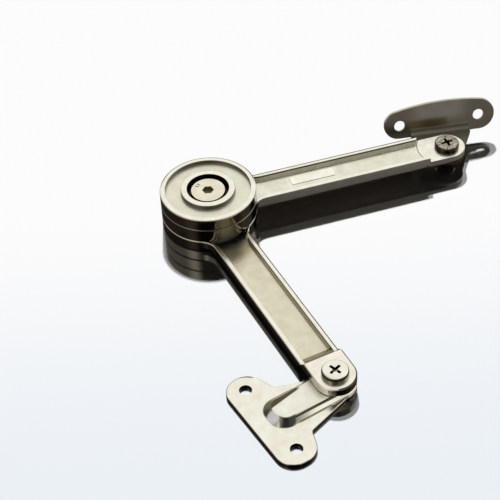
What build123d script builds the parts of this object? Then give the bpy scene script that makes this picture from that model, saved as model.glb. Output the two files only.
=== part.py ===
from build123d import *
import math
import os

os.makedirs("parts", exist_ok=True)

# Friction lid stay. Millimetres, +Z up.
# The origin is midway between the base bracket's two screw holes, on the face that is
# screwed to the cabinet.

# Driving dimensions
arm_length = 101.5
lower_angle = 115.0
opening = 80.35
upper_angle = lower_angle - 180.0 + opening
base_turn = -149.0
lid_turn = 7.0
seam = 0.25
face_gap = 0.04
edge_break = 0.3

# Hub levels, from the resting face up
hub_r = 19.0
lower_top = 5.0
upper_bottom = lower_top + seam
upper_top = 11.1
cap_bottom = upper_top + 0.2
cap_top = 16.3
hub_wall = 3.5
wall_r = hub_r - hub_wall

# Lower arm
lower_half = 7.8
lower_bottom = 1.9
channel_depth = 1.9
rim = 1.8
lower_floor = lower_top - channel_depth
flare_r = 7.0

# Stamped base bracket
base_t = 1.5
tongue_rise = 2.4
tongue_top = base_t + tongue_rise
base_hole_x = 27.5
base_hole_pitch = 32.0
base_hole_d = 4.7

# Lower lug sits on a washer on the tongue
washer_t = 0.3
lug_bottom = tongue_top + washer_t + face_gap
lug_top = lug_bottom + 3.26
lug_back = 9.0

# Upper arm
upper_half = 7.5
upper_arm_bottom = 8.0
upper_floor = upper_top - channel_depth
upper_lug_top = upper_floor - 0.2
upper_lug_bottom = upper_lug_top - 2.3
step_r = 12.6

# Lid bracket
lid_t = 1.3
tab_top = upper_lug_bottom - face_gap - washer_t
tab_bottom = tab_top - lid_t
bend_y = 11.8
bend_r = 3.0
lean = 20.0
lid_hole_pitch = 33.5
lid_hole_d = 4.6
lid_hole_z = 10.25
lid_hole_tilt = 1.3
plate_x = 0.65

# Pivot screws
shoulder_r = 2.6
lug_bore_r = shoulder_r + 0.06
shank_r = 1.95
head_r = 5.0
head_h = 2.1

# Hub stack
shaft_r = 5.0
bush_r = 6.5
flange_r = 8.0
flange_bottom = 0.4
flange_top = 2.1
recess_bottom = 3.2
recess_r = wall_r - 1.2
key_reach = recess_r + 1.1
key_half = 2.5
key_clear = 0.2
disc_clear = 0.1
channel_start = wall_r + 1.1
ledge = 0.6
spigot_wall = 1.3
spigot_r = wall_r - spigot_wall
wear_t = 1.0
web_top = 7.7
disc_t = 1.0
plate_t = 1.5
bore_r = 8.2
ring_r = 10.75
ring_top = 16.5
cap_rim = 2.0
deck_top = cap_top - 1.5
deck_bottom = 13.0
spigot_bottom = 9.8
disc_head_r = 6.9
disc_head_top = ring_top - 1.0
key_size = 4.0
socket_depth = 1.9


def polar(length, degrees):
    a = math.radians(degrees)
    return (length * math.cos(a), length * math.sin(a))


base_x = -polar(base_hole_x, base_turn)[0]
base_y = -polar(base_hole_x, base_turn)[1]
hub_x = base_x + polar(arm_length, lower_angle)[0]
hub_y = base_y + polar(arm_length, lower_angle)[1]
lid_x = hub_x + polar(arm_length, upper_angle)[0]
lid_y = hub_y + polar(arm_length, upper_angle)[1]


def at_hub(shape, turn=0.0):
    return Pos(hub_x, hub_y, 0) * Rot(0, 0, turn) * shape


def at_base(shape, turn=base_turn):
    return Pos(base_x, base_y, 0) * Rot(0, 0, turn) * shape


def at_lid(shape, turn=lid_turn):
    return Pos(lid_x, lid_y, 0) * Rot(0, 0, turn) * shape


def disc(radius, z0, z1, x=0.0, y=0.0):
    return Pos(x, y, z0) * Cylinder(radius, z1 - z0, align=(Align.CENTER, Align.CENTER, Align.MIN))


def ring(outer, inner, z0, z1, x=0.0, y=0.0):
    return disc(outer, z0, z1, x, y) - disc(inner, z0 - 1, z1 + 1, x, y)


def prism(points, half):
    # A side profile of (x, z) points, as wide as twice the half width
    face = Plane.XZ * make_face(Polyline(*points, close=True))
    return extrude(face, amount=half, both=True)


def edges_at(shape, z, tol=0.01):
    found = []
    for e in shape.edges():
        box = e.bounding_box()
        if abs(box.min.Z - z) < tol and abs(box.max.Z - z) < tol:
            found.append(e)
    return found


def softened(shape, z, size, pick=None):
    chosen = edges_at(shape, z)
    if pick is not None:
        chosen = [e for e in chosen if pick(e)]
    return fillet(chosen, size)


def bevelled(shape, z, size, pick=None):
    chosen = edges_at(shape, z)
    if pick is not None:
        chosen = [e for e in chosen if pick(e)]
    return chamfer(chosen, size)


def arm_outline(half, far, flare):
    # Hub circle and a straight arm, with hollow fillets where they meet
    shape = Circle(hub_r) + Pos(far / 2, 0) * Rectangle(far, 2 * half)
    corners = [v for v in shape.vertices() if 10 < v.X < hub_r + 0.5 and abs(abs(v.Y) - half) < 0.2]
    return fillet(corners, flare)


def channel_outline(half, far, flare):
    # The arm outline drawn in by the rim; it runs on under the disc above it
    inner = half - rim
    shape = Circle(hub_r) + Pos(far / 2, 0) * Rectangle(far, 2 * inner)
    corners = [v for v in shape.vertices() if 10 < v.X < hub_r + 0.5 and abs(abs(v.Y) - inner) < 0.2]
    shape = fillet(corners, flare + rim)
    under = (Circle(hub_r + 0.1) - Circle(channel_start)) & (Pos(hub_r / 2 + 8, 0) * Rectangle(hub_r, 2 * inner + 3))
    return shape - Circle(hub_r + 0.02) + under


# Lower arm
lower_far = arm_length + lower_half
ramp_slope = 1.27
ramp_foot = arm_length - lug_back - ramp_slope * (lug_top - lower_floor)
crank_end = arm_length - lug_back - 2.6
crank_start = crank_end - (lug_bottom - lower_bottom)
arm_plan = arm_outline(lower_half, arm_length, flare_r) + Pos(arm_length, 0) * Circle(lower_half)
side = [
    (0, lower_bottom),
    (crank_start, lower_bottom),
    (crank_end, lug_bottom),
    (lower_far + 1, lug_bottom),
    (lower_far + 1, lug_top),
    (arm_length - lug_back, lug_top),
    (arm_length - lug_back - (lug_top - lower_top), lower_top),
    (0, lower_top),
]
lower_arm = prism(side, 24) & extrude(arm_plan, amount=12)
lower_arm = softened(lower_arm, lug_top, 0.5, lambda e: e.center().X > arm_length - lug_back + 0.5)
lower_arm = softened(lower_arm, lower_top, 0.45, lambda e: e.center().X > 12 and abs(e.center().Y) > 3)
hub_disc = disc(hub_r, 0, lower_top)
hub_disc = bevelled(hub_disc, lower_top, edge_break)
hub_disc = bevelled(hub_disc, 0, 0.5)
lower_arm = lower_arm + hub_disc
channel = extrude(channel_outline(lower_half, arm_length - 4, flare_r), amount=9)
trough = prism([(15, lower_floor), (ramp_foot, lower_floor), (ramp_foot + 8 * ramp_slope, lower_floor + 8),
                (15, lower_floor + 8)], 24)
lower_arm = lower_arm - (channel & trough)
lower_arm = lower_arm - disc(lug_bore_r, 0, 12, arm_length)
lower_arm = lower_arm - disc(flange_r + 0.05, -1, flange_top)
lower_arm = lower_arm - disc(shaft_r, 0, 6)
lower_arm = lower_arm - disc(recess_r, recess_bottom, 6)
key_slot = Pos(0, 0, recess_bottom) * Box(2 * key_reach, 2 * key_half, 6, align=(Align.CENTER, Align.CENTER, Align.MIN))
lower_arm = lower_arm - key_slot

# Upper arm
upper_plan = arm_outline(upper_half, arm_length, flare_r) + Pos(arm_length, 0) * Circle(upper_half)
beam = extrude(Pos(0, 0, upper_arm_bottom) * upper_plan, amount=upper_top - upper_arm_bottom)
beam = softened(beam, upper_top, 0.45, lambda e: e.center().X > 12)
lug_zone = disc(step_r, 0, 20, arm_length)
beam = beam - lug_zone
lug = extrude(Pos(0, 0, upper_lug_bottom) * (Pos(arm_length - step_r / 2 - 0.4, 0)
      * Rectangle(step_r + 0.8, 2 * upper_half) + Pos(arm_length, 0) * Circle(upper_half)),
      amount=upper_lug_top - upper_lug_bottom)
lug = lug & disc(step_r + 0.8, 0, 20, arm_length)
lug = bevelled(lug, upper_lug_top, 0.25, lambda e: abs(e.center().Y) > 1 or e.center().X > arm_length)
web_disc = disc(hub_r, upper_bottom, upper_top)
web_disc = bevelled(web_disc, upper_top, edge_break)
web_disc = bevelled(web_disc, upper_bottom, edge_break)
upper_arm = beam + web_disc
trough = extrude(Pos(0, 0, upper_floor) * channel_outline(upper_half, arm_length, flare_r), amount=6)
upper_arm = upper_arm - trough
pad = Pos(43.5, 0.6, upper_floor) * extrude(RectangleRounded(18.4, 4.6, 0.5), amount=0.2)
upper_arm = upper_arm + lug + pad
upper_arm = upper_arm - disc(lug_bore_r, 0, 20, arm_length)
upper_arm = upper_arm - disc(bush_r, 0, 20)
upper_arm = upper_arm - disc(wall_r - ledge, web_top, 20)
upper_arm = upper_arm - disc(wall_r, spigot_bottom, 20)

# Hub cap
hub_cap = disc(hub_r, cap_bottom, cap_top)
hub_cap = softened(hub_cap, cap_top, 0.45)
hub_cap = bevelled(hub_cap, cap_bottom, edge_break)
hub_cap = hub_cap - disc(hub_r - cap_rim, deck_top, 20)
boss = disc(ring_r, deck_top - 1, ring_top)
boss = softened(boss, ring_top, 0.35)
hub_cap = hub_cap + boss + ring(wall_r, spigot_r, spigot_bottom, cap_bottom + 1)
hub_cap = hub_cap - disc(spigot_r, 0, deck_bottom) - disc(bore_r, 0, 20)
hub_cap = bevelled(hub_cap, ring_top, 0.2, lambda e: abs(e.bounding_box().size.X / 2 - bore_r) < 0.1)

# Pivot shaft with a flange below and flats for the pressure disc above
neck_bottom = 8.4
shaft_top = 13.3
stem_r = 4.3
flat_half = 3.6
thread_r = 2.5
thread_bottom = 4.6
shaft = disc(flange_r, flange_bottom, flange_top) + disc(shaft_r, 1, neck_bottom)
stem = disc(stem_r, 1, shaft_top) & Box(2 * flat_half, 12, 40)
pivot_shaft = shaft + stem - disc(thread_r, thread_bottom, 20)
pivot_shaft = bevelled(pivot_shaft, flange_bottom, 0.4)

# Friction stack
wear_disc = ring(recess_r - disc_clear, shaft_r + disc_clear, recess_bottom, recess_bottom + wear_t)
ear_box = Box(2 * (key_reach - key_clear), 2 * (key_half - key_clear), wear_t, align=(Align.CENTER, Align.CENTER, Align.MIN))
ears = Pos(0, 0, recess_bottom) * ear_box - disc(recess_r - 2, 0, cap_top)
wear_disc = wear_disc + ears
wear_top = recess_bottom + wear_t
friction_disc_lower = ring(recess_r - 3 * disc_clear, shaft_r + 4 * disc_clear, wear_top, upper_bottom - face_gap)
bush_clear = 0.05
hub_bush = ring(bush_r, shaft_r + bush_clear, upper_bottom, web_top)
fibre_r = wall_r - ledge - 4 * disc_clear
friction_disc_upper = ring(fibre_r, bush_r + 0.3, web_top, web_top + disc_t)
plate_bottom = web_top + disc_t + face_gap
plate_top = plate_bottom + plate_t
keyhole = disc(stem_r + disc_clear, 0, 20) & Box(2 * (flat_half + bush_clear), 12, 60)
pressure_disc = disc(spigot_r - 0.5, plate_bottom, plate_top) - keyhole

# Disc springs: shallow cones stacked point to point
spring_t = 0.5
spring_rise = 0.3
spring_in = stem_r + 0.2
spring_out = bore_r - 0.4
spring_step = spring_t + spring_rise


def cone_washer(z, up):
    lift_in = spring_rise if up else 0.0
    lift_out = 0.0 if up else spring_rise
    points = [
        (spring_in, z + lift_in),
        (spring_out, z + lift_out),
        (spring_out, z + lift_out + spring_t),
        (spring_in, z + lift_in + spring_t),
    ]
    return revolve(Plane.XZ * make_face(Polyline(*points, close=True)), axis=Axis.Z)


springs = [cone_washer(plate_top + i * spring_step, i % 2 == 0) for i in range(4)]
stack_top = plate_top + 4 * spring_step
collar_bottom = shaft_top + 0.1
collar_r = 4.0
thrust_t = 0.7
head_bottom = stack_top + thrust_t
thrust_washer = ring(spring_out - 0.2, collar_r + disc_clear, stack_top, head_bottom)

# Tension screw: round head with a hex socket and two index ticks
tension_screw = disc(disc_head_r, head_bottom, disc_head_top)
tension_screw = bevelled(tension_screw, disc_head_top, 0.25)
tension_screw = tension_screw + disc(collar_r, collar_bottom, head_bottom + 0.5)
tension_screw = tension_screw + disc(thread_r - bush_clear, thread_bottom + 1.4, collar_bottom + 0.5)
socket_r = (key_size + 0.05) / math.sqrt(3)
socket = Pos(0, 0, disc_head_top - socket_depth) * extrude(RegularPolygon(socket_r, 6), amount=5)
tension_screw = tension_screw - socket
for tick_angle in (138, 152):
    tick = Rot(0, 0, tick_angle) * Pos(4.9, 0, disc_head_top - 0.2) * extrude(SlotOverall(1.7, 0.5), amount=2)
    tension_screw = tension_screw - tick

# Base bracket: ears with a hole each, a neck, and a raised hollow tongue
ear_end = base_hole_pitch / 2 + 6.5
ear_side = 21.9
notch_x = 18.5
waist_x = 10.5
plan = make_face(Polyline(
    (0, 7.5), (notch_x, 12.5), (ear_side, ear_end), (base_hole_x + 8.1, ear_end),
    (base_hole_x + 7.2, -ear_end), (ear_side, -ear_end), (notch_x, -11.7), (waist_x, -8.4), (0, -7.5), close=True))
plan = fillet([v for v in plan.vertices() if v.X > base_hole_x + 5], 7.2)
plan = fillet([v for v in plan.vertices() if abs(v.X - ear_side) < 0.1], 7.4)
plan = fillet([v for v in plan.vertices() if abs(v.X - notch_x) < 0.1], 1.5)
plan = fillet([v for v in plan.vertices() if abs(v.X - waist_x) < 0.1], 6.0)
plan = plan + Circle(7.7)
side_in = 0.45
foot_blend = 0.9
nose_back = 20.0


def foot_wire(z, half, end, corner):
    # Sides that draw in a little towards the pivot, two corner arcs and a straight front
    back_half = half - side_in
    cx = end - corner
    cy = half - corner
    d = corner * math.sqrt(0.5)
    parts = [
        Line((0, -back_half, z), (cx, -half, z)),
        ThreePointArc((cx, -half, z), (cx + d, -cy - d, z), (end, -cy, z)),
        Line((end, -cy, z), (end, cy, z)),
        ThreePointArc((end, cy, z), (cx + d, cy + d, z), (cx, half, z)),
        Line((cx, half, z), (0, back_half, z)),
        ThreePointArc((0, back_half, z), (-back_half, 0, z), (0, -back_half, z)),
    ]
    return Wire([e for p in parts for e in p.edges()])


def top_wire(z, back_r, nose_r, nose_x):
    # Two circles joined by their tangents; the nose is cut in three arcs that meet the foot's
    lean_in = math.degrees(math.asin((back_r - nose_r) / nose_x))
    start = lean_in - 90
    split = -40

    def at(radius, x, degrees):
        p = polar(radius, degrees)
        return (x + p[0], p[1], z)

    parts = [
        Line(at(back_r, 0, start), at(nose_r, nose_x, start)),
        ThreePointArc(at(nose_r, nose_x, start), at(nose_r, nose_x, (start + split) / 2), at(nose_r, nose_x, split)),
        ThreePointArc(at(nose_r, nose_x, split), at(nose_r, nose_x, 0), at(nose_r, nose_x, -split)),
        ThreePointArc(at(nose_r, nose_x, -split), at(nose_r, nose_x, -(start + split) / 2), at(nose_r, nose_x, -start)),
        Line(at(nose_r, nose_x, -start), at(back_r, 0, -start)),
        ThreePointArc(at(back_r, 0, -start), (-back_r, 0, z), at(back_r, 0, start)),
    ]
    return Wire([e for p in parts for e in p.edges()])


raised = Solid.make_loft([foot_wire(base_t, 7.25, 28.5, 5.7), top_wire(tongue_top, 5.7, 4.7, 21.4)], True)
hollow = Solid.make_loft([foot_wire(0, 6.6, 27.8, 5.1), top_wire(tongue_rise, 4.9, 4.0, 21.2)], True)
base_bracket = extrude(plan, amount=base_t)
base_bracket = bevelled(base_bracket, base_t, 0.3)
base_bracket = base_bracket + raised - hollow
nose_foot = [e for e in edges_at(base_bracket, base_t) if e.bounding_box().min.X > nose_back]
nose_foot = [e for e in nose_foot if e.bounding_box().max.X < 28.7 and abs(e.center().Y) < 7]
nose_foot = [e for e in nose_foot if abs(e.bounding_box().max.Y) < 7.4 and abs(e.bounding_box().min.Y) < 7.4]
base_bracket = fillet(nose_foot, foot_blend)
base_bracket = softened(base_bracket, tongue_top, 1.0)
nut_spigot_r = 3.0
base_bracket = base_bracket - disc(nut_spigot_r, 0, 10)
for s in (-1, 1):
    base_bracket = base_bracket - disc(base_hole_d / 2, -1, 5, base_hole_x, s * base_hole_pitch / 2)


def clinch_nut(top, plate, bottom):
    # Round flange under the plate, spigot pressed in it, thread bore
    body = disc(3.9, bottom, top - plate) + disc(nut_spigot_r, bottom + 0.5, top)
    body = bevelled(body, bottom, 0.3)
    return body - disc(shank_r + 0.02, -20, 30)


def pan_screw(seat, shoulder_bottom, shank_bottom):
    # Pan head with a cross recess, a plain shoulder and a threaded shank
    head_seat = seat + face_gap
    body = disc(head_r, head_seat, head_seat + head_h)
    body = softened(body, head_seat + head_h, 0.9)
    body = body + disc(shoulder_r, shoulder_bottom, head_seat + 0.5)
    body = body + disc(shank_r, shank_bottom, shoulder_bottom + 0.5)
    top = head_seat + head_h
    cross = Rectangle(5.0, 1.15) + Rectangle(1.15, 5.0)
    inner = [v for v in cross.vertices() if abs(v.X) < 1 and abs(v.Y) < 1]
    cross = fillet(inner, 0.35)
    recess = Pos(0, 0, top) * extrude(cross, amount=-1.5, taper=12)
    return body - recess - Pos(0, 0, top) * extrude(cross, amount=1)


base_pivot_nut = clinch_nut(tongue_top, base_t, 0.25)
base_pivot_washer = ring(4.6, shoulder_r + 0.1, tongue_top, tongue_top + washer_t)
base_pivot_screw = pan_screw(lug_top, tongue_top, 0.3)

# Lid bracket: tab, bend and leaning oval plate
lean_rad = math.radians(lean)
turn_rad = math.radians(90 - lean)
centre_z = tab_top + bend_r


def bend_point(radius, turn):
    return (bend_y + radius * math.sin(turn), centre_z - radius * math.cos(turn))


def along_plate(point, length):
    return (point[0] + length * math.sin(lean_rad), point[1] + length * math.cos(lean_rad))


outer_r = bend_r + lid_t
inner_end = bend_point(bend_r, turn_rad)
outer_end = bend_point(outer_r, turn_rad)
profile = Polyline((-9, tab_bottom), (bend_y, tab_bottom))
profile = profile + ThreePointArc((bend_y, tab_bottom), bend_point(outer_r, turn_rad / 2), outer_end)
profile = profile + Polyline(outer_end, along_plate(outer_end, 16), along_plate(inner_end, 16), inner_end)
profile = profile + ThreePointArc(inner_end, bend_point(bend_r, turn_rad / 2), (bend_y, tab_top))
profile = profile + Polyline((bend_y, tab_top), (-9, tab_top), (-9, tab_bottom))
strip = extrude(Plane.YZ * make_face(profile), amount=30, both=True)

# The plate's own plane: x along the plate, y up the slope, from the line of the holes
hole_y = inner_end[0] + (lid_hole_z - inner_end[1]) * math.tan(lean_rad)
plate_plane = Plane(origin=(plate_x, hole_y, lid_hole_z), x_dir=(1, 0, 0), z_dir=(0, -math.cos(lean_rad), math.sin(lean_rad)))

left_r = 5.95
right_r = 6.6
foot_y = -5.88
crown_r = 95.0
half_pitch = lid_hole_pitch / 2
left_x = -half_pitch - 0.55
right_x = half_pitch + 0.2
left_y = foot_y + left_r
right_y = foot_y + right_r
# The top edge is an arc that touches both end circles; its centre lies below them
gap_x = right_x - left_x
gap_y = right_y - left_y
gap = math.hypot(gap_x, gap_y)
along = ((crown_r - left_r) ** 2 - (crown_r - right_r) ** 2 + gap ** 2) / (2 * gap)
across = math.sqrt((crown_r - left_r) ** 2 - along ** 2)
crown_x = left_x + (along * gap_x + across * gap_y) / gap
crown_y = left_y + (along * gap_y - across * gap_x) / gap


def crown_point(x, y):
    # Where the ray from the crown's centre through (x, y) meets the crown
    reach = math.hypot(x - crown_x, y - crown_y)
    return (crown_x + (x - crown_x) * crown_r / reach, crown_y + (y - crown_y) * crown_r / reach)


left_top = crown_point(left_x, left_y)
right_top = crown_point(right_x, right_y)
oval = ThreePointArc(left_top, crown_point(0, 0), right_top)
oval = oval + ThreePointArc(right_top, (right_x + right_r, right_y), (right_x, foot_y))
oval = oval + Line((right_x, foot_y), (left_x, foot_y))
oval = oval + ThreePointArc((left_x, foot_y), (left_x - left_r, left_y), left_top)
plate = extrude(plate_plane * make_face(oval), amount=-lid_t)
fronts = [f for f in plate.faces() if f.normal_at().dot(plate_plane.z_dir) > 0.99]
plate = chamfer(fronts[0].edges(), 0.25)
neck_left = -11.8
neck_right = 13.0
neck_plan = make_face(Polyline((-7.5, 0), (neck_left, 10.8), (neck_left, 26), (neck_right, 26),
                               (neck_right, 10.8), (7.5, 0), close=True)) + Circle(7.5)
necked = strip & extrude(neck_plan, amount=40)
above_holes = plate_plane * Pos(0, 20, 0) * Box(80, 40, 20)
necked = necked - above_holes
lid_bracket = plate + necked
lid_bracket = lid_bracket - disc(nut_spigot_r, 0, 10)
for s in (-1, 1):
    hole = plate_plane * Rot(0, 0, lid_hole_tilt) * Pos(s * half_pitch, 0, -4) * Cylinder(lid_hole_d / 2, 10)
    lid_bracket = lid_bracket - hole

lid_pivot_nut = clinch_nut(tab_top, lid_t, tab_bottom - 2.0)
lid_pivot_washer = ring(4.6, shoulder_r + 0.1, tab_top, tab_top + washer_t)
lid_pivot_screw = pan_screw(upper_lug_top, tab_top, tab_bottom - 1.9)

pieces = {
    "lower_arm": at_hub(lower_arm, lower_angle - 180),
    "upper_arm": at_hub(upper_arm, upper_angle),
    "hub_cap": at_hub(hub_cap, upper_angle),
    "pivot_shaft": at_hub(pivot_shaft, lower_angle - 180),
    "tension_screw": at_hub(tension_screw),
    "thrust_washer": at_hub(thrust_washer),
    "disc_spring_1": at_hub(springs[0]),
    "disc_spring_2": at_hub(springs[1]),
    "disc_spring_3": at_hub(springs[2]),
    "disc_spring_4": at_hub(springs[3]),
    "pressure_disc": at_hub(pressure_disc, lower_angle - 180),
    "friction_disc_upper": at_hub(friction_disc_upper),
    "friction_disc_lower": at_hub(friction_disc_lower),
    "wear_disc": at_hub(wear_disc, lower_angle - 180),
    "hub_bush": at_hub(hub_bush),
    "base_bracket": at_base(base_bracket),
    "base_pivot_screw": at_base(base_pivot_screw, 45),
    "base_pivot_washer": at_base(base_pivot_washer),
    "base_pivot_nut": at_base(base_pivot_nut),
    "lid_bracket": at_lid(lid_bracket),
    "lid_pivot_screw": at_lid(lid_pivot_screw, 20),
    "lid_pivot_washer": at_lid(lid_pivot_washer),
    "lid_pivot_nut": at_lid(lid_pivot_nut),
}

for name, shape in pieces.items():
    solids = shape.solids()
    shape = solids[0] if len(solids) == 1 else Compound(children=list(solids))
    export_step(shape, f"parts/{name}.step")
    box = shape.bounding_box()
    print(name, len(solids), round(shape.volume, 1), "z", round(box.min.Z, 2), round(box.max.Z, 2))
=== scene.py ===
import math
import bpy
import numpy as np
from mathutils import Matrix, Vector


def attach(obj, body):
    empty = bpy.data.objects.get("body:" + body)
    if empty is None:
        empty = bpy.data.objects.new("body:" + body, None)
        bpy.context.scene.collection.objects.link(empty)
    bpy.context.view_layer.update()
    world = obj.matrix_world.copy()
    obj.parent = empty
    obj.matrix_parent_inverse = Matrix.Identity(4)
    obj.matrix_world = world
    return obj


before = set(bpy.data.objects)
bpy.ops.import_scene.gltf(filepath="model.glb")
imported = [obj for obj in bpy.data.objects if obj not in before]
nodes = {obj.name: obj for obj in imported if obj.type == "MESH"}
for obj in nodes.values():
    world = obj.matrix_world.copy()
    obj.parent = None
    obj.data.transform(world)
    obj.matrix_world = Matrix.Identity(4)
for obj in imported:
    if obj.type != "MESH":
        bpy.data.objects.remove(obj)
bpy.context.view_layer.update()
scene = bpy.context.scene
mm = 0.001
print("frame loaded:", len(nodes), "pieces")


def linear(hexColour):
    # sRGB hex to linear: each channel is divided by 12.92 below 0.04045, else ((c + 0.055) / 1.055) ** 2.4
    channels = [int(hexColour[i:i + 2], 16) / 255 for i in (1, 3, 5)]
    return [c / 12.92 if c <= 0.04045 else ((c + 0.055) / 1.055) ** 2.4 for c in channels] + [1.0]


def feed(tree, socket, value):
    # a socket takes a plain value, or a link written as (node, output)
    if isinstance(value, tuple) and isinstance(value[0], bpy.types.Node):
        tree.links.new(value[0].outputs[value[1]], socket)
    else:
        socket.default_value = value


def addNode(tree, kind, settings=None, inputs=None):
    # one node: settings are its properties, inputs are values or links for its sockets
    node = tree.nodes.new(kind)
    for name, value in (settings or {}).items():
        setattr(node, name, value)
    for name, value in (inputs or {}).items():
        feed(tree, node.inputs[name], value)
    return node


def maths(tree, operation, first, second):
    return (addNode(tree, "ShaderNodeMath", {"operation": operation}, {0: first, 1: second}), "Value")


def remap(tree, value, toLow, toHigh, span=(0.0, 1.0), smooth=False):
    # toLow at the span's first end, toHigh at its other end, on a straight line or a smooth step between them
    low, high = span
    line = {"interpolation_type": "SMOOTHSTEP" if smooth else "LINEAR"}
    ends = {"Value": value, "From Min": low, "From Max": high, "To Min": toLow, "To Max": toHigh}
    return (addNode(tree, "ShaderNodeMapRange", line, ends), "Result")


def within(tree, value, low, high, soft):
    # 1 where the value lies from low to high, fading over soft at both ends
    rise = remap(tree, value, 0.0, 1.0, (low - soft, low), smooth=True)
    fall = remap(tree, value, 1.0, 0.0, (high, high + soft), smooth=True)
    return maths(tree, "MULTIPLY", rise, fall)


def mix(tree, share, first, second, blend="MIX"):
    node = addNode(tree, "ShaderNodeMixRGB", {"blend_type": blend},
                   {"Fac": share, "Color1": first, "Color2": second})
    return (node, "Color")


def startMaterial(name):
    # a new material with its node tree, its shader and the object's own coordinates
    material = bpy.data.materials.new(name)
    material.use_nodes = True
    tree = material.node_tree
    return material, tree, tree.nodes["Principled BSDF"], addNode(tree, "ShaderNodeTexCoord")


# camera, fitted to the photograph
cameraView = {
    "elevation": 43.699,          # degrees above the horizon, looking along +Y
    "roll": -2.989,               # degrees
    "distance": 0.572863,         # m from the target
    "target": (-0.00407, 0.08693, 0.0),
    "lens": 105.517,              # mm
    "sensor": 36.0,               # mm
    "clip": (0.01, 20.0),         # m
}


def makeCamera(view):
    # the camera stands at target + distance * back, with its right and up axes turned by the roll
    elevation, roll = math.radians(view["elevation"]), math.radians(view["roll"])
    back = Vector((0, -math.cos(elevation), math.sin(elevation)))
    right = Vector((1, 0, 0))
    top = back.cross(right)
    turnedRight = right * math.cos(roll) + top * math.sin(roll)
    turnedTop = top * math.cos(roll) - right * math.sin(roll)
    data = bpy.data.cameras.new("photoCamera")
    data.lens = view["lens"]
    data.sensor_width = view["sensor"]
    data.clip_start, data.clip_end = view["clip"]
    camera = bpy.data.objects.new("photoCamera", data)
    scene.collection.objects.link(camera)
    place = Matrix((turnedRight, turnedTop, back)).transposed().to_4x4()
    place.translation = Vector(view["target"]) + back * view["distance"]
    camera.matrix_world = place
    scene.camera = camera


makeCamera(cameraView)

# floor, lamp and world
studio = {
    "floorSize": 6.0,             # m
    "floorNear": "#e9eef3",
    "floorFar": "#fafafa",
    "floorFade": (-0.03, 0.12),   # m along Y, from the near colour to the far one
    "floorMirror": 0.25,          # share of the polished floor that mirrors
    "floorRoughness": 0.05,
    "card": "#241c15",            # dark card under the object, seen only in the metal: painted dark reflections
    "cardAcross": (-0.075, 0.19),
    "cardAlong": (-0.35, 0.148),
    "cardSoft": 0.03,
    "tent": 0.97,                 # even light from the white tent all round, as the metal mirrors it
    "fill": 0.006,                # what the tent adds on the floor
    "background": 1.0,            # white, as the camera sees the world
    "sun": {"azimuth": -0.5, "elevation": 43.2, "strength": 4.7, "angle": 2.5},
    "flags": [
        # dark flags in the tent: azimuth from +Y towards +X, elevation, inner and outer half angle,
        # all in degrees, and the level of the light there
        (180.0, 46.0, 16.0, 30.0, 0.04),     # behind the camera
        (-75.0, 42.0, 24.0, 42.0, 0.35),     # on the left
        (125.0, 48.0, 12.0, 26.0, 0.15),     # on the right
    ],
}


def compass(azimuth, elevation):
    # unit vector: azimuth from +Y towards +X, elevation above the horizon, in degrees
    a, e = math.radians(azimuth), math.radians(elevation)
    return Vector((math.sin(a) * math.cos(e), math.cos(a) * math.cos(e), math.sin(e)))


def makeFloor(values):
    half = values["floorSize"] / 2
    mesh = bpy.data.meshes.new("floor")
    corners = [(-half, -half, 0), (half, -half, 0), (half, half, 0), (-half, half, 0)]
    mesh.from_pydata(corners, [], [(0, 1, 2, 3)])
    floor = bpy.data.objects.new("floor", mesh)
    scene.collection.objects.link(floor)
    # a pale polished sheet: nearly white, with a faint mirror image of the object beside its shadow
    material, tree, shader, place = startMaterial("polishedPaleSheet")
    axes = addNode(tree, "ShaderNodeSeparateXYZ", inputs={"Vector": (place, "Object")})
    fade = remap(tree, (axes, "Y"), 0.0, 1.0, values["floorFade"], smooth=True)
    sheet = mix(tree, fade, linear(values["floorNear"]), linear(values["floorFar"]))
    ray = addNode(tree, "ShaderNodeLightPath")
    # painted dark reflection: under the object the floor looks dark to mirrored rays only
    card = maths(tree, "MULTIPLY", within(tree, (axes, "X"), *values["cardAcross"], values["cardSoft"]),
                 within(tree, (axes, "Y"), *values["cardAlong"], values["cardSoft"]))
    card = maths(tree, "MULTIPLY", card, (ray, "Is Glossy Ray"))
    feed(tree, shader.inputs["Base Color"], mix(tree, card, sheet, linear(values["card"])))
    shader.inputs["Metallic"].default_value = values["floorMirror"]
    shader.inputs["Roughness"].default_value = values["floorRoughness"]
    mesh.materials.append(material)


def flagLevel(tree, place, flag, clear):
    # the sky's direction dotted with the flag's gives how far it lies from the flag's middle
    azimuth, elevation, inner, outer, level = flag
    near = addNode(tree, "ShaderNodeVectorMath", {"operation": "DOT_PRODUCT"},
                   {0: (place, "Generated"), 1: compass(azimuth, elevation)})
    span = [math.cos(math.radians(angle)) for angle in (outer, inner)]
    return remap(tree, (near, "Value"), clear, level, span, smooth=True)


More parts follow.
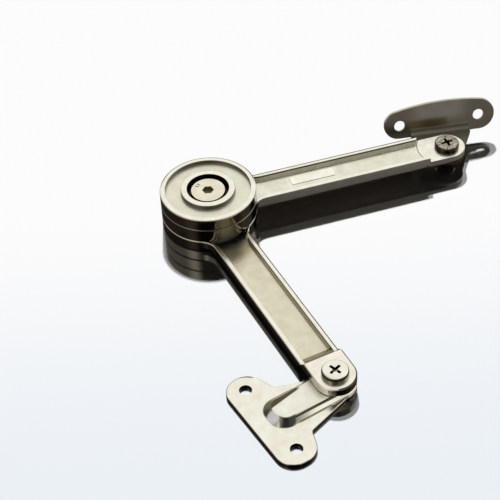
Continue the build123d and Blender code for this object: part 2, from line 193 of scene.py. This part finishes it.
def makeLight(values):
    sun = values["sun"]
    data = bpy.data.lights.new("backSun", "SUN")
    data.energy = sun["strength"]
    data.angle = math.radians(sun["angle"])
    lamp = bpy.data.objects.new("backSun", data)
    scene.collection.objects.link(lamp)
    lamp.rotation_euler = compass(sun["azimuth"], sun["elevation"]).to_track_quat("Z", "Y").to_euler()
    lamp.visible_glossy = False    # lights the floor; the metal mirrors the tent
    world = bpy.data.worlds.new("studio")
    scene.world = world
    world.use_nodes = True
    tree = world.node_tree
    place = addNode(tree, "ShaderNodeTexCoord")
    ray = addNode(tree, "ShaderNodeLightPath")
    light = values["tent"]
    for flag in values["flags"]:
        light = maths(tree, "MINIMUM", light, flagLevel(tree, place, flag, values["tent"]))
    # the metal mirrors the tent, but throws none of it back on the floor
    direct = remap(tree, (ray, "Diffuse Depth"), 1.0, 0.0)
    mirrored = maths(tree, "MULTIPLY", (ray, "Is Glossy Ray"), direct)
    light = remap(tree, mirrored, values["fill"], light)
    light = remap(tree, (ray, "Is Camera Ray"), light, values["background"])
    background = tree.nodes["Background"]
    background.inputs["Color"].default_value = (1, 1, 1, 1)
    feed(tree, background.inputs["Strength"], light)


scene.view_settings.view_transform = "Standard"
makeFloor(studio)
makeLight(studio)
print("camera, floor and light made")

# places on the part: pivots in mm, directions in degrees from +X towards +Y
hubAt = (-19.3237, 106.1538)
basePivotAt = (23.5721, 14.1635)
lidPivotAt = (78.5555, 133.0223)
leftEarAt = (-8.17, 12.82)        # middle of the base plate's left ear
noseAt = (0.6, -0.4)              # left facet of the tongue's nose
lowerTurn = -65.0
upperTurn = 15.35
baseTurn = -149.0
flankTurn = baseTurn + 9.1        # the tongue's left flank
lidTurn = 7.0

# rim under the upper arm
rimUnderArm = {
    "along": (17.0, 91.0),        # mm from the hub's axis
    "half": 7.45,                 # outer half width
    "corner": 2.0,
    "cornerSteps": 9,             # points on each corner
    "width": 1.2,
    "height": (6.75, 8.05),
    "edge": 0.25,                 # rounding of the lower edges
    "edgeSteps": 5,               # points on each rounding
    "sharp": 40.0,                # degrees between faces from which an edge stays sharp
}


def loopPath(low, high, half, corner, steps):
    # rounded rectangle: four quarter circles of radius corner, joined by straight runs;
    # point = the corner's middle + corner * outward normal
    quarter = np.linspace(0, np.pi / 2, steps)
    turns = np.concatenate([quarter + k * np.pi / 2 for k in range(4)])
    middles = np.repeat([(high - corner, half - corner), (low + corner, half - corner),
                         (low + corner, corner - half), (high - corner, corner - half)], steps, axis=0)
    normals = np.stack([np.cos(turns), np.sin(turns)], axis=1)
    return middles + corner * normals, normals


def sweptRim(name, values, pivot, turn):
    # a small profile (inwards, height) carried round the path: point = path - inwards * normal, at the
    # profile's height; all is turned and moved to the pivot, and rows and columns close on themselves
    points, normals = loopPath(*values["along"], values["half"], values["corner"], values["cornerSteps"])
    low, high = values["height"]
    width, edge = values["width"], values["edge"]
    arc = np.linspace(0, np.pi / 2, values["edgeSteps"])
    outer = np.stack([edge - edge * np.cos(arc), low + edge - edge * np.sin(arc)], axis=1)
    inner = np.stack([width - edge + edge * np.sin(arc), low + edge - edge * np.cos(arc)], axis=1)
    profile = np.concatenate([[(0, high)], outer, inner, [(width, high)]])
    flat = points[:, None, :] - profile[None, :, 0, None] * normals[:, None, :]
    angle = math.radians(turn)
    spin = np.array([[math.cos(angle), math.sin(angle)], [-math.sin(angle), math.cos(angle)]])
    flat = flat @ spin + np.array(pivot)
    height = np.broadcast_to(profile[:, 1], flat.shape[:2])
    verts = np.concatenate([flat, height[..., None]], axis=2).reshape(-1, 3) * mm
    rows, columns = flat.shape[:2]
    here = np.arange(rows * columns).reshape(rows, columns)
    nextRow, nextColumn = np.roll(here, -1, 0), np.roll(here, -1, 1)
    faces = np.stack([here, nextColumn, np.roll(nextRow, -1, 1), nextRow], axis=2).reshape(-1, 4)
    mesh = bpy.data.meshes.new(name)
    mesh.from_pydata(verts.tolist(), [], faces.tolist())
    mesh.polygons.foreach_set("use_smooth", np.ones(len(mesh.polygons), dtype=bool))
    mesh.set_sharp_from_angle(angle=math.radians(values["sharp"]))
    piece = bpy.data.objects.new(name, mesh)
    scene.collection.objects.link(piece)
    return piece


underRim = sweptRim("upperArmUnderRim", rimUnderArm, hubAt, upperTurn)
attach(underRim, "upper")
print("rim made:", len(underRim.data.polygons), "faces")


# finishes: plated and plain metals, coloured by zones of each piece, many of them painted light and shade
def makeMeasures(tree, place, pivot, turn):
    # distances from a pivot: along and to the side of the direction turn, across without the sign, off the
    # pivot's axis, and height; tilt is the normal's z
    angle = -math.radians(turn)
    shift = Matrix.Rotation(angle, 3, "Z") @ Vector((-pivot[0] * mm, -pivot[1] * mm, 0))
    own = addNode(tree, "ShaderNodeMapping", {"vector_type": "POINT"},
                  {"Vector": (place, "Object"), "Rotation": (0, 0, angle), "Location": shift})
    axes = addNode(tree, "ShaderNodeSeparateXYZ", inputs={"Vector": (own, "Vector")})
    across = addNode(tree, "ShaderNodeMath", {"operation": "ABSOLUTE"}, {0: (axes, "Y")})
    flat = addNode(tree, "ShaderNodeVectorMath", {"operation": "MULTIPLY"},
                   {0: (own, "Vector"), 1: (1, 1, 0)})
    off = addNode(tree, "ShaderNodeVectorMath", {"operation": "LENGTH"}, {0: (flat, "Vector")})
    facing = addNode(tree, "ShaderNodeNewGeometry")
    normal = addNode(tree, "ShaderNodeSeparateXYZ", inputs={"Vector": (facing, "Normal")})
    return {"along": (axes, "X"), "side": (axes, "Y"), "across": (across, "Value"), "off": (off, "Value"),
            "height": (axes, "Z"), "tilt": (normal, "Z")}


usualSoft = {"tilt": 0.12, "length": 0.15}     # fade at a zone's limits where it names none; lengths in mm


def zoneShare(tree, zone, measures):
    # 1 where all of a zone's limits hold: (low, high) or (low, high, fade), in mm, or the normal's z for tilt
    share = None
    for measure, limits in zone.items():
        if measure not in measures:
            continue
        unit, usual = (1.0, usualSoft["tilt"]) if measure == "tilt" else (mm, usualSoft["length"])
        low, high, soft = limits if len(limits) == 3 else (*limits, usual)
        part = within(tree, measures[measure], low * unit, high * unit, soft * unit)
        share = maths(tree, "MULTIPLY", share, part) if share else part
    return share


def noise(tree, place, size, detail, roughness):
    # noise whose coarsest lumps are about size mm
    node = addNode(tree, "ShaderNodeTexNoise", inputs={"Vector": (place, "Object"), "Scale": 1 / (size * mm),
                   "Detail": detail, "Roughness": roughness})
    return (node, "Fac")


def platedMetal(name, look):
    # the plate's colour, then each zone's over it in their order, then the clouding over all
    material, tree, shader, place = startMaterial(name)
    home = (look["pivot"], look["turn"])
    measured = {home: makeMeasures(tree, place, *home)}
    clouds = noise(tree, place, look["cloud"], look["cloudDetail"], look["cloudRoughness"])
    mottledAndShaded = remap(tree, clouds, 0.0, look["mottleAndShadeShare"], look["cloudSpan"])
    low, high = look["roughness"] - look["roughSpread"], look["roughness"] + look["roughSpread"]
    rough = remap(tree, clouds, low, high, look["cloudSpan"])
    rough = remap(tree, within(tree, measured[home]["tilt"], *look["upright"]), rough, look["sideRoughness"])
    colour, metal = linear(look["colour"]), look["metal"]
    for zone in look["zones"]:
        seenFrom = (zone.get("pivot", look["pivot"]), zone.get("turn", look["turn"]))
        if seenFrom not in measured:
            measured[seenFrom] = makeMeasures(tree, place, *seenFrom)
        share = zoneShare(tree, zone, measured[seenFrom])
        colour = mix(tree, share, colour, linear(zone["colour"]))
        if "rough" in zone:
            rough = remap(tree, share, rough, zone["rough"])
        if "metal" in zone:
            metal = remap(tree, share, metal, zone["metal"])
    feed(tree, shader.inputs["Base Color"], mix(tree, mottledAndShaded, colour, linear(look["mottleAndShade"]), "MULTIPLY"))
    feed(tree, shader.inputs["Roughness"], rough)
    feed(tree, shader.inputs["Metallic"], metal)
    grain = noise(tree, place, look["grain"], look["grainDetail"], look["grainRoughness"])
    bump = addNode(tree, "ShaderNodeBump", inputs={"Height": grain, "Strength": look["bump"],
                   "Distance": look["bumpDepth"] * mm})
    feed(tree, shader.inputs["Normal"], (bump, "Normal"))
    return material


wallTilt = (-1.1, 0.7)            # upright faces and undersides
rimShade = "#565044"              # painted shade: a thin brown line along the outer edge of a top
boreShade = "#1c1814"             # painted shade, nearly black, in the gap round the tension disc
# painted shade: upright faces and undersides darker than the tops
paintedSideShade = {"colour": "#b3aa94", "tilt": (-1.1, 0.74)}
paintedArmReflection = {"colour": "#bfb69f", "tilt": (-1.1, 0.6), "turn": -60.0, "along": (12, 20), "side": (-3, 8),
           "height": (6.0, 16.0)}     # painted reflection of the lower arm: a lighter patch on the hub's side, towards it
plain = {
    "colour": "#faf7ea", "metal": 1.0, "pivot": hubAt, "turn": 0.0, "zones": [],
    "roughness": 0.25, "sideRoughness": 0.14,
    "upright": (-1.1, 0.6, 0.2),             # tilt of the faces that take the side's roughness
    "roughSpread": 0.03,                     # how far the clouds move the roughness
    "mottleAndShade": "#e2dac4", "mottleAndShadeShare": 0.4,   # the clouds' colour and its greatest share: a random mottle, and on the lid screw painted dark reflections
    "cloud": 4.0, "cloudDetail": 3.0, "cloudRoughness": 0.55, "cloudSpan": (0.3, 0.7),     # lumps in mm
    "grain": 1.6, "grainDetail": 2.0, "grainRoughness": 0.5,     # mm; really finer, drawn coarser to be seen
    "bump": 0.35, "bumpDepth": 0.02,         # depth in mm
}
finishes = {
    # satin nickel plate on the castings: pale tops, warmer channel floors, painted brown shade on the walls,
    # sides painted dark as shade
    "nickelOnLowerCasting": dict(plain, turn=lowerTurn, zones=[
        paintedSideShade,
        {"colour": "#e2ddc6", "height": (-1, 4.2), "across": (-1, 6.3), "along": (15, 96)},
        # painted reflection of the hub's dark side on the channel floor next to it
        {"colour": "#868b90", "height": (-1, 4.2), "across": (-1, 6.3), "along": (10, 20, 6.0)},
        {"colour": "#f6ead2", "tilt": wallTilt, "across": (-1, 6.9), "along": (15, 93), "rough": 0.3},
        # painted shade: a dark line along the top of the channel walls
        {"colour": "#5d5745", "tilt": (-1.1, 0.8), "across": (-1, 6.9), "along": (15, 93),
         "height": (4.3, 4.9)},
        # painted shade along the outer edges of the rim and the lug
        {"colour": rimShade, "side": (7.32, 8.2, 0.1), "along": (19, 93), "height": (4.7, 5.1)},
        {"colour": rimShade, "pivot": basePivotAt, "off": (7.32, 8.2, 0.1), "side": (-2, 9, 1.0),
         "along": (0, 9), "height": (7.3, 7.7)},
        {"colour": rimShade, "side": (7.32, 8.2, 0.1), "along": (93, 101.5), "height": (7.3, 7.7)},
        # painted shade on the step from the channel floor up to the lug
        {"colour": "#8a8268", "along": (86.8, 92.4), "across": (-1, 6.0), "height": (3.15, 7.4)},
        # painted highlight on the lug's front-left side
        {"colour": "#fffaf0", "tilt": wallTilt, "pivot": basePivotAt, "turn": -130.0, "along": (6.4, 12, 1.0),
         "height": (4.3, 7.4), "rough": 0.22},
    ]),
    "nickelOnUpperCasting": dict(plain, turn=upperTurn, zones=[
        dict(paintedSideShade, rough=0.14), paintedArmReflection,
        # painted shade dimming the bevel at the top of the upper casting's hub, under the cap
        {"colour": "#7d7565", "tilt": (0.1, 0.97), "off": (18.1, 19.4), "height": (10.6, 11.3)},
        # painted light: the arm's near side lighter and duller than the other sides
        {"colour": "#d8cfc2", "tilt": wallTilt, "side": (-8.4, -6.9), "along": (17, 96, 2.0),
         "height": (7.3, 11.3, 0.6), "rough": 0.45, "metal": 0.1},
        # painted light: the lug's sides lighter and duller
        {"colour": "#c9bfb0", "tilt": wallTilt, "pivot": lidPivotAt, "off": (6.5, 12.5), "height": (6.8, 9.3),
         "rough": 0.45, "metal": 0.2},
        {"colour": "#eceada", "height": (-1, 10.3), "across": (-1, 6.0), "along": (15, 89)},
        {"colour": "#f2efe6", "tilt": wallTilt, "across": (-1, 6.6), "along": (15, 90), "rough": 0.7},
        # painted shade: a dark line along the top of the channel walls
        {"colour": "#6d6755", "tilt": (-1.1, 0.8), "across": (-1, 6.6), "along": (15, 90),
         "height": (10.4, 11.0)},
        # painted shade along the outer edge of the rim
        {"colour": rimShade, "side": (6.86, 7.9, 0.1), "along": (18, 91), "height": (10.8, 11.2)},
        {"colour": "#fffdf0", "height": (9.3, 9.5), "across": (-1, 3.1), "along": (33, 54)},
        # painted shade: a thin dark arc where the channel floor steps up to the lug
        {"colour": "#8a846c", "pivot": lidPivotAt, "off": (12.1, 12.35), "height": (8.8, 9.4)},
    ]),
    # the same plate on the cap: a bright rim with a painted dark line on its far edge, a softer recess with
    # painted shade on its walls, painted shade in the bore
    "nickelOnCap": dict(plain, zones=[
        paintedSideShade, paintedArmReflection,
        # painted shade: a dark line along the far part of the cap's top edge
        {"colour": "#6b6558", "off": (18.48, 19.3, 0.1), "side": (7, 20, 6.0), "height": (16.0, 16.5)},
        {"colour": "#f0eedd", "height": (14, 15.6), "off": (10.8, 17.1), "rough": 0.38},
        # painted shade on the recess walls
        {"colour": "#7d786d", "tilt": wallTilt, "off": (9.5, 17.3), "height": (14.7, 16.6), "rough": 0.4},
        # painted shade, nearly black, in the bore
        {"colour": boreShade, "tilt": wallTilt, "off": (-1, 8.6), "rough": 0.8},
    ]),
    # a little warmer on the tension screw's disc, its sides painted nearly black as shade in the gap, and
    # painted shade in a duller socket
    "nickelOnTensionDisc": dict(plain, colour="#f0ead6", zones=[
        # painted shade: sides nearly black in the gap
        dict(paintedSideShade, colour=boreShade, rough=0.8),
        # painted shade in the socket
        {"colour": "#a8a37c", "off": (-1, 2.6), "height": (-1, 15.2), "rough": 0.7},
    ]),
    # nickel plate on stamped steel: pale and even, with painted brown shade on the tongue's flanks, its front
    # facet and the cut edge, painted dark lines along its edges and a painted highlight on the nose
    "nickelOnStampedBase": dict(plain, colour="#f8f5e8", roughness=0.22, pivot=basePivotAt, turn=baseTurn,
                                zones=[
        # painted shade on the cut edge of the plate
        dict(paintedSideShade, colour="#7d7568", height=(-1, 1.32)),
        {"colour": "#fdfaee", "height": (3.75, 4.0), "along": (-6, 30), "rough": 0.42},
        # painted shade along the left ear's edge
        {"colour": rimShade, "pivot": leftEarAt, "turn": 90.0, "off": (6.93, 8.2, 0.1), "along": (0, 9, 2.0),
         "side": (-1.5, 9, 2.0), "height": (1.3, 1.7)},
        # painted shade: a dark line along the tongue's right top edge
        {"colour": "#57523f", "side": (5.3, 6.2), "height": (3.1, 4.0), "along": (4, 22, 1.0)},
        # painted shade: a line at the foot of the tongue's right flank
        {"colour": "#b0a98e", "side": (6.9, 7.4), "height": (1.4, 1.9), "along": (7, 19, 2.0)},
        # painted shade: dark bands on the tongue's left flank, on its top and its slope
        {"colour": "#5c5644", "turn": flankTurn, "side": (-10.3, -6.3, 0.5), "along": (13, 30, 2.5),
         "height": (3.0, 4.0)},
        {"colour": "#6b6654", "turn": flankTurn, "side": (-10.3, -5.4, 1.4), "along": (18, 31, 2.0),
         "height": (1.62, 3.75, 0.08), "tilt": (-1, 0.93)},
        # painted highlight on the nose's left corner
        {"colour": "#ffffff", "pivot": noseAt, "off": (-1, 1.6, 1.2), "height": (1.62, 3.8),
         "tilt": (-1, 0.93), "rough": 0.65},
        # painted shade on the nose's front facet
        {"colour": "#85827a", "turn": -90.0, "side": (-20.2, -15.3, 0.9), "height": (1.62, 3.8),
         "tilt": (-1, 0.88)},
    ]),
    # the same on the lid bracket, greyer, with painted shade on the front face, a painted highlight in its
    # middle, and painted shade on the bend and the tab
    "nickelOnLidBracket": dict(plain, colour="#d0c9b8", roughness=0.3, pivot=lidPivotAt, turn=lidTurn, zones=[
        {"colour": "#c4bdac", "height": (-1, 40), "rough": 0.36},
        # painted shade on the front face
        {"colour": "#686257", "tilt": (0.2, 0.45)},
        # painted highlight in the middle of the front face
        {"colour": "#807b72", "along": (-5, 7, 9.0), "height": (13, 19, 5.0), "tilt": (0.2, 0.45)},
        # painted shade: a darker brown band low on the front face
        {"colour": "#5c523e", "along": (-12, 2, 4.0), "height": (8.5, 10.5, 1.5), "tilt": (0.2, 0.45)},
        # painted shade on the tab, under the arm's end
        {"colour": "#7b776b", "height": (-1, 12), "tilt": (0.55, 1.1), "rough": 0.45},
        # painted shade on the bend
        {"colour": "#6f6b5f", "height": (-1, 12), "tilt": (0.5, 0.9)},
    ]),
    # bright nickel on the base screw, with painted shade under its head's edge
    "brightNickelOnScrew": dict(plain, zones=[
        paintedSideShade,
        # painted shade on the head's upper side
        {"colour": "#3a352b", "tilt": (-1.1, 0.74), "height": (8.5, 10.0)},
    ]),
    # polished nickel on the lid screw: a glossy head painted dark in small blotches, as the dark reflections
    # on it
    "polishedNickelOnScrew": dict(plain, colour="#cfc6b2", mottleAndShade="#5a5344", mottleAndShadeShare=1.0, cloud=0.9,
                                  roughness=0.14, zones=[dict(paintedSideShade, colour="#4a443a")]),
    # inside the hub and under the arms: grey turned steel, darker spring steel, a washer painted nearly black
    # as the shade in the gap, dull brown fibre and reddish bronze
    "turnedSteel": dict(plain, colour="#cfccc4"),
    "springSteel": dict(plain, colour="#8f8c88"),
    "gapShadeDarkSteel": dict(plain, colour="#2b2825", roughness=0.4),
    "frictionFibre": dict(plain, colour="#4a4036", roughness=0.8, sideRoughness=0.8, metal=0.0),
    "bushBronze": dict(plain, colour="#b88a52"),
}
wornBy = {
    "nickelOnLowerCasting": ["lower_arm"],
    "nickelOnUpperCasting": ["upper_arm", "upperArmUnderRim"],
    "nickelOnCap": ["hub_cap"],
    "nickelOnTensionDisc": ["tension_screw"],
    "nickelOnStampedBase": ["base_bracket"],
    "nickelOnLidBracket": ["lid_bracket"],
    "brightNickelOnScrew": ["base_pivot_screw"],
    "polishedNickelOnScrew": ["lid_pivot_screw"],
    "turnedSteel": ["pivot_shaft", "pressure_disc", "wear_disc", "base_pivot_washer", "base_pivot_nut",
                    "lid_pivot_washer", "lid_pivot_nut"],
    "springSteel": ["disc_spring_1", "disc_spring_2", "disc_spring_3", "disc_spring_4"],
    "gapShadeDarkSteel": ["thrust_washer"],
    "frictionFibre": ["friction_disc_upper", "friction_disc_lower"],
    "bushBronze": ["hub_bush"],
}
pieces = dict(nodes, upperArmUnderRim=underRim)
for name, look in finishes.items():
    material = platedMetal(name, look)
    for piece in wornBy[name]:
        pieces[piece].data.materials.clear()
        pieces[piece].data.materials.append(material)
print("finishes made:", len(finishes))
